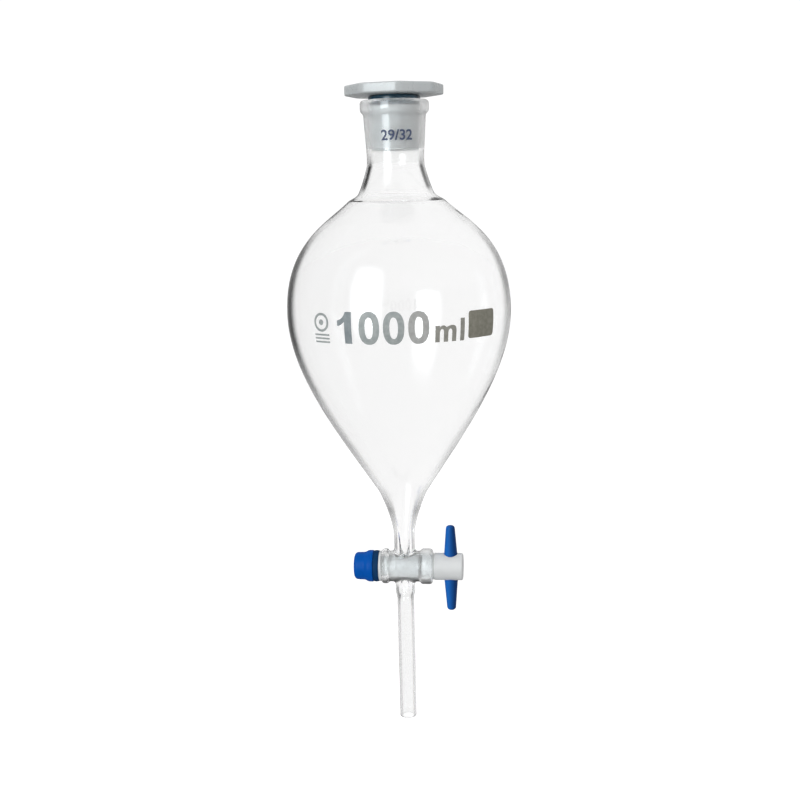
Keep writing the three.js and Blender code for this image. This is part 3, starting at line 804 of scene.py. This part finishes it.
def stopper(material):
    """Octagonal head with a dished top, and a hollow tapered plug with two sealing ribs."""
    skin = Skin()
    top_z, tip_z = stopper_high.z, stopper_low.z
    under_z = top_z - HEAD_THICKNESS
    outline = octagon(0, 0)
    angles = np.arctan2(outline[:, 1], outline[:, 0])

    def toward_circle(radius, z, share, inset):
        return octagon(inset, z) * (1 - share) + about_z([(radius, z)], angles)[0] * share

    rim_width = 3.2
    dish_r = 17.0
    dish_z = top_z - 0.5
    gate_z = dish_z - 0.15
    turns = np.linspace(0, math.pi / 2, 6)
    upper_edge = [octagon(HEAD_EDGE * (1 - math.sin(a)), top_z - HEAD_EDGE * (1 - math.cos(a)))
                  for a in turns]
    lower_edge = [octagon(HEAD_EDGE * (1 - math.cos(a)), under_z + HEAD_EDGE * (1 - math.sin(a)))
                  for a in turns]
    top = [toward_circle(dish_r, top_z, share, rim_width) for share in (0.0, 0.5, 1.0)]
    _, edge = skin.strip([*upper_edge, *lower_edge])
    _, dish_edge = skin.strip([upper_edge[0], *top])
    centre = [(dish_r - 0.5, top_z - 0.2), (dish_r - 1.0, dish_z), (9.0, dish_z), (2.6, dish_z),
              (2.3, gate_z), (1.2, gate_z)]
    _, gate = skin.strip([dish_edge, *about_z(centre, angles)])
    skin.fan(gate, (0, 0, gate_z))

    def cone_r(z):
        return grind_r(z) - RUNNING_GAP

    def rib(z):
        """A low ridge round the plug."""
        return path((cone_r(z + 0.7) - 0.06, z + 0.7), (2, (cone_r(z), z)),
                    (cone_r(z - 0.7) - 0.06, z - 0.7))

    seat_r, neck_r, tip_r = cone_r(CONE_TOP_Z), RING_SEAT_R, cone_r(tip_z)
    inside_r = RING_SEAT_R - 1.7
    inside_z = under_z + 1.6
    plug = path(
        (neck_r + 0.6, under_z),
        (neck_r + 0.5, under_z),
        (4, (neck_r, under_z), (neck_r, under_z - 0.5)),
        (neck_r, CONE_TOP_Z),
        (seat_r - 0.35, CONE_TOP_Z),
        (4, (seat_r, CONE_TOP_Z), (seat_r - 0.02, CONE_TOP_Z - 0.4)),
        rib(150.0),
        rib(141.0),
        (cone_r(tip_z + 0.9) - 0.05, tip_z + 0.9),
        (5, (tip_r, tip_z), (tip_r - 0.8, tip_z)),
        (tip_r - 1.1, tip_z),
        (4, (tip_r - 1.7, tip_z), (tip_r - 1.75, tip_z + 0.6)),
        (4, (neck_r - 1.5, tip_z + 12)),
        (6, (inside_r, under_z + 0.6)),
        (5, (inside_r, inside_z), (inside_r - 1.0, inside_z)),
    )
    shared = [toward_circle(plug[0][0], under_z, share, HEAD_EDGE) for share in (0.35, 0.7, 1.0)]
    _, top_inside = skin.strip([edge, *shared, *about_z(plug[1:], angles)])
    skin.fan(top_inside, (0, 0, inside_z))
    piece = skin.piece("stopper_moulding", [material], sharp_deg=40)
    belongs(piece, "stopper_body", "grey_polyethylene", "stopper")


def closed_turning(name, profile, rings_of, material, body, slot, node):
    """A turned piece whose profile closes on itself."""
    skin = Skin()
    rings = rings_of(profile, ROUND)
    skin.strip([*rings, rings[0]])
    belongs(skin.piece(name, [material]), body, slot, node)


def stopper_ring(material):
    inner = RING_SEAT_R + RUNNING_GAP
    outer = ring_high.x
    low, high = ring_low.z, ring_high.z
    soft = 1.1
    profile = path(
        (inner, high),
        (2, (inner, low)),
        (outer - soft, low),
        (6, (outer, low), (outer, low + soft)),
        (outer, high - soft),
        (6, (outer, high), (outer - soft, high)),
    )
    closed_turning("ring_band", profile, about_z, material,
                   "ring_body", "dark_ring_plastic", "stopper_ring")


# ---------- stopcock's moving pieces ----------

def threaded(xs, mean_r, low_x, high_x, side, fade_high):
    """Rings about X whose radius waves round in a right-handed helix. Over the pitch next to a
    run-out end the ridges sink back into the piece: a screw's to its root (side -1), and a nut's
    to its widest (side 1)."""
    rows = []
    for x in xs:
        rise = np.clip((x - low_x) / THREAD_PITCH, 0, 1)
        if fade_high:
            rise *= np.clip((high_x - x) / THREAD_PITCH, 0, 1)
        wave = np.cos(2 * math.pi * x / THREAD_PITCH + ROUND)
        ridge = np.sign(wave) * np.abs(wave) ** THREAD_CREST
        rows.append((mean_r + THREAD_DEPTH * (side + rise * (ridge - side)), x))
    return about_x(rows, ROUND)


def cut(piece, cutter):
    """Takes cutter's volume out of piece and throws cutter away."""
    boolean = piece.modifiers.new("cut", "BOOLEAN")
    boolean.operation = "DIFFERENCE"
    boolean.solver = "EXACT"
    boolean.object = cutter
    bpy.context.view_layer.update()
    mesh = evaluated(piece)
    piece.modifiers.clear()
    old = piece.data
    piece.data = mesh
    bpy.data.meshes.remove(old)
    bpy.data.objects.remove(cutter)
    mesh.set_sharp_from_angle(angle=math.radians(35))


def upright(name, profile, angles, x, z, material):
    """A solid about an upright axis at x, with flat ends."""
    skin = Skin()
    skin.capped(about_z(profile, angles, z, x), (x, 0, z + profile[0][1]),
                (x, 0, z + profile[-1][1]))
    return skin.piece(name, [material])


LEVER_X = (lever_low.x + lever_high.x) / 2
LEVER_Z = (lever_low.z + lever_high.z) / 2
LEVER_R = (lever_high.x - lever_low.x) / 2
LEVER_HALF = (lever_high.z - lever_low.z) / 2


def key(material):
    """Tapered plug with ring grooves, round head with a dished end, threaded tail."""
    skin = Skin()
    thread_end = PLUG_END_X - 1.6
    tail_tip, end = key_low.x, key_high.x
    face_r, chamfer_r = plug_r(HEAD_X), KEY_HEAD_R - 0.25

    def groove(x):
        floor_r = plug_r(x) - 1.5
        return path((plug_r(x - 1), x - 1), (floor_r, x - 0.95), (floor_r, x + 0.95),
                    (plug_r(x + 1), x + 1))

    body = path(
        (TAIL_R, thread_end),
        (TAIL_R, PLUG_END_X - 0.8),
        (4, (TAIL_R, PLUG_END_X - 0.3), (TAIL_R + 0.4, PLUG_END_X - 0.3)),
        (plug_r(PLUG_END_X) - 0.5, PLUG_END_X - 0.1),
        (4, (plug_r(PLUG_END_X), PLUG_END_X), (plug_r(PLUG_END_X + 0.5), PLUG_END_X + 0.5)),
        groove(-O_RING_X),
        (12, (plug_r(O_RING_X - 1), O_RING_X - 1)),
        groove(O_RING_X),
        (face_r, HEAD_X),
        (face_r, HEAD_X + 0.6),
        (3, (face_r, KEY_HEAD_X), (chamfer_r, KEY_HEAD_X)),
        (4, (KEY_HEAD_R, KEY_HEAD_X), (KEY_HEAD_R, KEY_HEAD_X + 0.4)),
        (12, (KEY_HEAD_R, end - 1.1)),
        (6, (KEY_HEAD_R, end), (KEY_HEAD_R - 1.1, end)),
        (4.9, end),
        (4, (4.5, end), (4.4, end - 0.4)),
        (4.3, end - 1.0),
        (2.0, end - 1.2),
    )
    xs = np.arange(tail_tip + 0.7, thread_end, THREAD_PITCH / THREAD_STEPS)
    thread = threaded(xs, TAIL_R, xs[0], thread_end, -1, True)
    tip = about_x([(TAIL_R - 1.4, tail_tip), (TAIL_R - 0.7, tail_tip + 0.3)], ROUND)
    skin.capped([*tip, *thread, *about_x(body, ROUND)], (tail_tip, 0, COCK_Z),
                (end - 1.25, 0, COCK_Z))
    piece = skin.piece("key_turning", [material])
    reach = KEY_HEAD_R + 1
    for radius, x in ((FLOW_R, 0), (LEVER_R + 0.06, LEVER_X)):
        rod = [(radius, -reach), (radius, reach)]
        cut(piece, upright("cutter", rod, even_angles(64), x, COCK_Z, material))
    belongs(piece, "key_body", "white_ptfe", "key")


def lever(material):
    """Bar through the key's head, tapering to rounded tips, with a fine mould line."""
    tip_r = 2.5
    mould_line = 0.07
    tip = LEVER_HALF
    half = path(
        (LEVER_R, 0),
        (LEVER_R, KEY_HEAD_R - 1),
        (14, (tip_r + 0.1, tip - 1.5)),
        (8, (tip_r - 0.05, tip), (tip_r - 1.5, tip)),
        (0.5, tip),
    )
    rise = mould_line * np.exp(-((np.sin(ROUND) / 0.05) ** 2))
    profile = [(r - mould_line + rise * min(r, 1), h) for r, h in path(half[::-1] * (1, -1), half)]
    piece = upright("lever_bar", profile, ROUND, LEVER_X, LEVER_Z, material)
    belongs(piece, "key_body", "blue_plastic", "lever")


def o_ring(name, node, x, material):
    centre = plug_r(x) - O_RING_SECTION_R + 0.03
    profile = np.array([centre, x]) + O_RING_SECTION_R * circle(even_angles(24))
    closed_turning(name, profile, about_x, material, "key_body", "pale_silicone", node)


def flat_ring(name, node, low, high, soft, bulge, material, slot):
    """A washer with rounded edges. bulge is how far its side swells in the middle."""
    inner, outer, side = WASHER_BORE_R, high.y, high.y - bulge
    swell = outer - bulge * 0.6
    profile = path(
        (inner + soft, low.x),
        (4, (inner, low.x), (inner, low.x + soft)),
        (inner, high.x - soft),
        (4, (inner, high.x), (inner + soft, high.x)),
        (side - soft, high.x),
        (5, (side, high.x), (swell, high.x - soft)),
        (outer, (low.x + high.x) / 2),
        (swell, low.x + soft),
        (5, (side, low.x), (side - soft, low.x)),
    )
    closed_turning(name, profile, about_x, material, "washer_body", slot, node)


def nut(material):
    """Cap nut: domed knob, flare and collar, blind threaded hole, moulding mark on the end."""
    skin = Skin()
    face, end = nut_high.x, nut_low.x
    knob_r, collar_r = 8.0, nut_high.y
    hole_r = TAIL_R + 0.35
    blind = end + 1.5
    outside = path(
        (0.9, end + 0.25),
        (1.3, end + 0.25),
        (1.5, end + 0.1),
        (3, (1.6, end), (2.0, end)),
        (4, (knob_r - 2.1, end + 0.12)),
        (8, (knob_r - 0.15, end + 0.2), (knob_r - 0.1, end + 2.2)),
        (4, (knob_r, end + 5.6)),
        (8, (knob_r + 0.05, end + 7.0), (collar_r - 0.3, end + 7.2), (collar_r - 0.05, end + 8.6)),
        (collar_r, end + 9.0),
        (collar_r, face - 0.45),
        (4, (collar_r, face), (collar_r - 0.45, face)),
        (3, (hole_r + 0.7, face)),
        (hole_r + 0.3, face - 0.4),
    )
    xs = np.arange(face - 0.6, blind + 0.4, -THREAD_PITCH / THREAD_STEPS)
    thread = threaded(xs, hole_r, blind, face, 1, False)
    bottom = about_x([(hole_r - 0.6, blind), (hole_r - 1.6, blind)], ROUND)
    skin.capped([*about_x(outside, ROUND), *thread, *bottom], (end + 0.25, 0, COCK_Z),
                (blind, 0, COCK_Z))
    belongs(skin.piece("cap_nut", [material]), "nut_body", "blue_plastic", "nut")


# ---------- enamel print ----------

PRINT_TURN = math.radians(8.3)
PRINT_Z = 33.0
PRINT_LIFT = 0.02
PRINT_THICKNESS = 0.06
PRINT_STEP = 1.5
JOINT_SIZE_TURN = math.radians(10)
JOINT_SIZE_Z = 137.1

# Places in the capacity print: to the right of its middle, and above its foot
DIGIT_HEIGHT = 16.6
DIGIT_STROKE = 3.3
ZERO_HALF_WIDTH = 5.45
ZERO_XS = (-17.9, -5.1, 7.7)
MARK_X = -46.0
MARK_RING_Z = 10.6
MARK_BAR_ZS = (3.6, 1.7, -0.2)
L_LOW, L_HIGH = (30.6, 0.0), (33.2, 11.9)
FIELD_LOW, FIELD_HIGH = (35.7, 0.7), (54.7, 15.2)


def outer_radius(z):
    order = np.argsort(OUTER_PROFILE[:, 1])
    return np.interp(z, OUTER_PROFILE[order, 1], OUTER_PROFILE[order, 0])


def wrap(flat, turn, base_z, lift):
    """Flat print points (right, up) laid on the glass, lift above it."""
    z = base_z + flat[:, 1]
    slope = outer_radius(z + 0.5) - outer_radius(z - 0.5)
    length = np.sqrt(1 + slope ** 2)
    angle = turn + flat[:, 0] / float(outer_radius(base_z))
    radius = outer_radius(z) + lift / length
    return np.stack([radius * np.sin(angle), -radius * np.cos(angle), z - lift * slope / length], 1)


def sliced(work):
    """Cuts flat faces into strips narrow enough to bend round the glass."""
    for axis in (0, 1):
        places = [v.co[axis] for v in work.verts]
        for at in np.arange(min(places) + PRINT_STEP, max(places), PRINT_STEP):
            normal = (1 - axis, axis, 0)
            bmesh.ops.bisect_plane(work, geom=[*work.verts, *work.edges, *work.faces], dist=1e-5,
                                   plane_co=[at * n for n in normal], plane_no=normal)
    bmesh.ops.triangulate(work, faces=work.faces)


def printed(name, work, material, slot="grey_enamel", turn=PRINT_TURN, base_z=PRINT_Z):
    """A thin closed layer on the glass from the flat faces in work, which it frees."""
    bmesh.ops.remove_doubles(work, verts=work.verts, dist=1e-4)
    sliced(work)
    work.verts.ensure_lookup_table()
    flat = np.array([v.co[:2] for v in work.verts])
    count = len(flat)
    faces = [[v.index for v in f.verts][::1 if f.normal.z > 0 else -1] for f in work.faces]
    rim = [[v.index for v in e.verts] for e in work.edges if e.is_boundary]
    work.free()
    layers = [wrap(flat, turn, base_z, PRINT_LIFT + up) for up in (PRINT_THICKNESS, 0)]
    sides = [(a, b, b + count, a + count) for a, b in rim]
    under = [[i + count for i in reversed(f)] for f in faces]
    mesh = mesh_from(name, np.vstack(layers).tolist(), [*faces, *under, *sides])
    belongs(place(mesh, name, [material]), "glass", slot)


def lettering(words, height, weight):
    """Flat faces of a line of plain letters, centred, of the given height over all."""
    text = bpy.data.curves.new("words", "FONT")
    text.body = words
    text.align_x = "CENTER"
    text.size = 1
    text.offset = weight
    text.resolution_u = 8
    holder = added("words", text)
    mesh = evaluated(holder)
    work = bmesh.new()
    work.from_mesh(mesh)
    bpy.data.objects.remove(holder)
    bpy.data.meshes.remove(mesh)
    highest = max(v.co.y for v in work.verts)
    lowest = min(v.co.y for v in work.verts)
    scale = height / (highest - lowest)
    for v in work.verts:
        v.co = Vector((v.co.x * scale, (v.co.y - lowest) * scale, 0))
    return work


def flat_faces(*outlines):
    """Flat triangles that fill closed outlines of (right, up)."""
    work = bmesh.new()
    for points in outlines:
        work.faces.new([work.verts.new((x, y, 0)) for x, y in points])
    work.normal_update()
    bmesh.ops.triangulate(work, faces=work.faces)
    return work


def hoop(centre, outer, inner, power, steps=40):
    """Outlines of the short lengths of a closed band between two rounded boxes. Each box is given
    by its half width and half height, and a power of 2 makes it an ellipse."""
    unit = circle(np.linspace(0, 2 * math.pi, steps + 1))
    unit = np.sign(unit) * np.abs(unit) ** (2 / power)
    outside, inside = (unit * np.array(half) + np.array(centre) for half in (outer, inner))
    return [np.array([outside[i], outside[i + 1], inside[i + 1], inside[i]]) for i in range(steps)]


def digit_one(left, width, height, stem):
    right = left + width
    shoulder = right - stem + 0.6
    return path(
        (right, 0), (right, height), (shoulder, height),
        (6, (shoulder - 0.8, height - 2.6), (left + 2.4, height - 4.1), (left, height - 4.6)),
        (left, height - 7.6),
        (4, (left + 1.8, height - 7.2), (right - stem - 0.8, height - 6.2),
         (right - stem, height - 5.2)),
        (right - stem, 0),
    )


def letter_m(left, width, height, stem):
    """A plain m: three stems under two arches."""
    right = left + width
    middle = (left + right - stem) / 2

    def arch(low, high):
        """The inside of the arch between two stems, from right to left."""
        return bezier((high, height - 3.3), (high, height - 1.3), (low + 0.2, height - 1.2),
                      (low, height - 3.6), 6)

    return path(
        (left, 0), (left, height), (left + stem, height), (left + stem, height - 0.9),
        (6, (left + stem + 0.9, height + 0.3), (middle + 0.4, height + 0.6),
         (middle + stem * 0.6, height - 0.9)),
        (8, (middle + stem + 1.2, height + 0.4), (right, height + 0.8), (right, height - 2.4)),
        (right, 0), (right - stem, 0), arch(middle + stem, right - stem),
        (middle + stem, 0), (middle, 0), arch(left + stem, middle), (left + stem, 0),
    )


def rounded_box(low, high, blend):
    """Outline of a box with rounded corners, from its low corner to its high one."""
    centre, half = (np.array(low) + high) / 2, (np.array(high) - low) / 2
    points = []
    for sx, sy in ((1, -1), (1, 1), (-1, 1), (-1, -1)):
        side = half * (sx, sy)
        first, second = side - np.array([blend * sx, 0]), side - np.array([0, blend * sy])
        if sx * sy > 0:
            first, second = second, first
        points.append(corner(first, side, second, 6) + centre)
    return path(*points)


def capacity_print(dark, pale, faint, warm):
    """Capacity in plain bold figures, with cover that gets thinner from left to right."""
    middle = DIGIT_HEIGHT / 2 - 0.1
    half = (ZERO_HALF_WIDTH, DIGIT_HEIGHT / 2 + 0.25)
    hole = (half[0] - DIGIT_STROKE, half[1] - 3.0)
    first, second, last = (hoop((x, middle), half, hole, 2.35) for x in ZERO_XS)
    printed("print_one", flat_faces(digit_one(-35.5, 8.2, DIGIT_HEIGHT, 4.1)), dark)
    printed("print_zeros", flat_faces(*first, *second), pale)
    printed("print_last_zero", flat_faces(*last), faint)
    letter_l = rounded_box(L_LOW, L_HIGH, 0.1)
    printed("print_unit", flat_faces(letter_m(16.3, 11.9, 8.6, 2.5), letter_l), warm)


def roundel(material):
    """A plain mark: a ring with a dot over three short bars."""
    centre = (MARK_X, MARK_RING_Z)
    ring = hoop(centre, (5.0, 5.0), (3.7, 3.7), 2)
    dot = np.array(centre) + 1.5 * circle(even_angles(20))
    bars = [rounded_box((MARK_X - 5.0, z), (MARK_X + 5.0, z + 0.9), 0.2) for z in MARK_BAR_ZS]
    printed("print_roundel", flat_faces(*ring, dot, *bars), material)


# ---------- floor, light, camera ----------

# Lengths in metres
CAMERA_TURN = math.radians(6.3)
CAMERA_AIM = math.radians(0.055)
CAMERA_PITCH = math.radians(9.65)
CAMERA_ROLL = math.radians(1.35)
CAMERA_DISTANCE = 0.6857
CAMERA_HEIGHT = 0.110
CAMERA_LENS = 55.17

# Brightness of the world, and how it rises along a direction
SEEN_WHITE = 1.06
ROOM_MIRRORED = (0.46, (0.40, 0.04, 0.20))
ROOM_LIGHT = (0.58, (0.0, -0.06, 0.22))
LIGHT_TURN = math.radians(-27)
LIGHT_DISTANCE = 1.6
LIGHT_HEIGHT = 0.35
# Lamps: width and height, radiance, colour
LIGHT_MIRRORED = (1.15, 2.3, 8.6, (0.92, 1.0, 1.03))
LIGHT_ON_DULL = (0.8, 1.7, 3.2, (1, 1, 1))
# Distance from a lamp's middle at which it starts to fade, and its edge, as shares of its side
FADE_START, FADE_END = 0.12, 0.5
FLOOR_Z = TIP_Z - 150
FLOOR_R = 30000


def around(turn, distance, height):
    return Vector((distance * math.sin(turn), -distance * math.cos(turn), height))


def aimed(name, data, where, toward, roll=0.0):
    """A camera or lamp that looks along toward."""
    item = added(name, data)
    item.location = where
    item.rotation_mode = "QUATERNION"
    item.rotation_quaternion = toward.to_track_quat("-Z", "Y") @ Quaternion((0, 0, 1), -roll)
    return item


def camera():
    data = bpy.data.cameras.new("camera")
    data.lens = CAMERA_LENS
    data.sensor_width = 36
    data.clip_end = 100
    forward = -around(CAMERA_TURN + CAMERA_AIM, math.cos(CAMERA_PITCH), math.sin(CAMERA_PITCH))
    where = around(CAMERA_TURN, CAMERA_DISTANCE, CAMERA_HEIGHT)
    bpy.context.scene.camera = aimed("camera", data, where, forward, CAMERA_ROLL)


def soft_light(name, width, height, radiance, colour, lights):
    """A flat lamp in front on the -X side. It either lights dull surfaces, or is only mirrored in
    glossy ones, and then it fades out towards its edges."""
    data = bpy.data.lights.new(name, "AREA")
    data.shape = "RECTANGLE"
    data.size = width
    data.size_y = height
    data.energy = radiance * math.pi * width * height
    data.color = colour
    if not lights:
        fade_edges(data)
    where = around(LIGHT_TURN, LIGHT_DISTANCE, LIGHT_HEIGHT)
    lamp = aimed(name, data, where, -where)
    lamp.visible_camera = False
    lamp.visible_diffuse = lights
    lamp.visible_glossy = not lights


def fade_edges(data):
    """Full strength in the middle of a lamp, none at its edges."""
    data.use_nodes = True
    nodes = Nodes(data.node_tree)
    across = nodes.add("SeparateXYZ", nodes.add("NewGeometry").outputs["Parametric"])
    fades = []
    for side in ("X", "Y"):
        away = nodes.maths("ABSOLUTE", nodes.less(across.outputs[side], 0.5))
        fade = nodes.add("MapRange", away, FADE_START, FADE_END, 1.0, 0.0)
        fade.interpolation_type = "SMOOTHSTEP"
        fades.append(fade.outputs["Result"])
    nodes.feed(nodes.tree.nodes["Emission"].inputs["Strength"], nodes.times(*fades))


def studio():
    """A white backdrop all round, and a dimmer room that glossy surfaces mirror and that lights
    dull ones from above."""
    world = bpy.data.worlds.new("studio")
    bpy.context.scene.world = world
    world.use_nodes = True
    nodes = Nodes(world.node_tree)
    toward = nodes.add("TexCoord").outputs["Generated"]
    ray = nodes.add("LightPath").outputs

    def room(level, rise):
        """Brightness that rises from a level towards one side."""
        return nodes.maths("ADD", nodes.vector("DOT_PRODUCT", toward, rise)["Value"], level)

    lit = nodes.mixed(ray["Is Diffuse Ray"], room(*ROOM_MIRRORED), room(*ROOM_LIGHT))
    seen = nodes.mixed(ray["Is Camera Ray"], lit, SEEN_WHITE)
    strength = nodes.mixed(ray["Is Transmission Ray"], seen, SEEN_WHITE)
    background = nodes.tree.nodes["Background"]
    background.inputs["Color"].default_value = (1, 1, 1, 1)
    nodes.feed(background.inputs["Strength"], strength)
    soft_light("light_mirrored", *LIGHT_MIRRORED, False)
    soft_light("light_on_dull", *LIGHT_ON_DULL, True)
    bpy.context.scene.view_settings.view_transform = "Standard"


def floor():
    look = Look("floor_paper", IOR=1.45, Roughness=0.9, Emission_Strength=0.38,
                Emission_Color=(1, 1, 1, 1))
    look.colour(look.tint(look.noise(3), (0.93, 0.93, 0.93), (0.95, 0.95, 0.95)))
    skin = Skin()
    skin.fan(skin.ring(about_z([(FLOOR_R, FLOOR_Z)], even_angles(64))[0]), (0, 0, FLOOR_Z))
    plane = skin.piece("floor", [look.material])
    plane.visible_diffuse = False
    plane.visible_glossy = False


white = ptfe()
silicone = pale_silicone()
pale_print = enamel("pale_enamel", (0.29, 0.325, 0.325), (0.41, 0.44, 0.435))

glass_body([
    clear_glass("clear_glass", True),
    clear_glass("inside_glass", False),
    ground_glass("ground_taper", (0.84, 0.85, 0.85), 0.75),
    ground_glass("ground_taper_end", (0.95, 0.955, 0.95), 1.0, (0.12, 0.2)),
    ground_glass("barrel_bore", (0.93, 0.94, 0.94), 0.7),
])
stopper(polyethylene())
stopper_ring(ring_plastic())
key(white)
lever(blue_plastic("blue_lever_painted_shade", True))
o_ring("o_ring_head", "key_o_ring_head", O_RING_X, silicone)
o_ring("o_ring_tail", "key_o_ring_tail", -O_RING_X, silicone)
flat_ring("ptfe_washer", "thrust_washer", washer_low, washer_high, 0.25, 0.0, white, "white_ptfe")
flat_ring("rubber_ring", "tension_ring", tension_low, tension_high, 0.5, 0.25, dark_rubber(),
          "dark_rubber")
nut(blue_plastic("blue_plastic", False))
capacity_print(enamel("grey_enamel", (0.20, 0.235, 0.25), (0.28, 0.32, 0.335)), pale_print,
               enamel("faint_enamel", (0.36, 0.365, 0.355), (0.48, 0.485, 0.475)),
               enamel("warm_enamel", (0.25, 0.245, 0.22), (0.35, 0.345, 0.31)))
roundel(pale_print)
printed("print_field", flat_faces(rounded_box(FIELD_LOW, FIELD_HIGH, 1.6)),
        enamel("panel_enamel", (0.19, 0.185, 0.145), (0.27, 0.26, 0.215)))
printed("print_joint_size", lettering("29/32", 5.7, 0.02),
        enamel("blue_enamel", (0.035, 0.05, 0.115), (0.06, 0.085, 0.17)), "blue_enamel",
        JOINT_SIZE_TURN, JOINT_SIZE_Z)
floor()
studio()
camera()
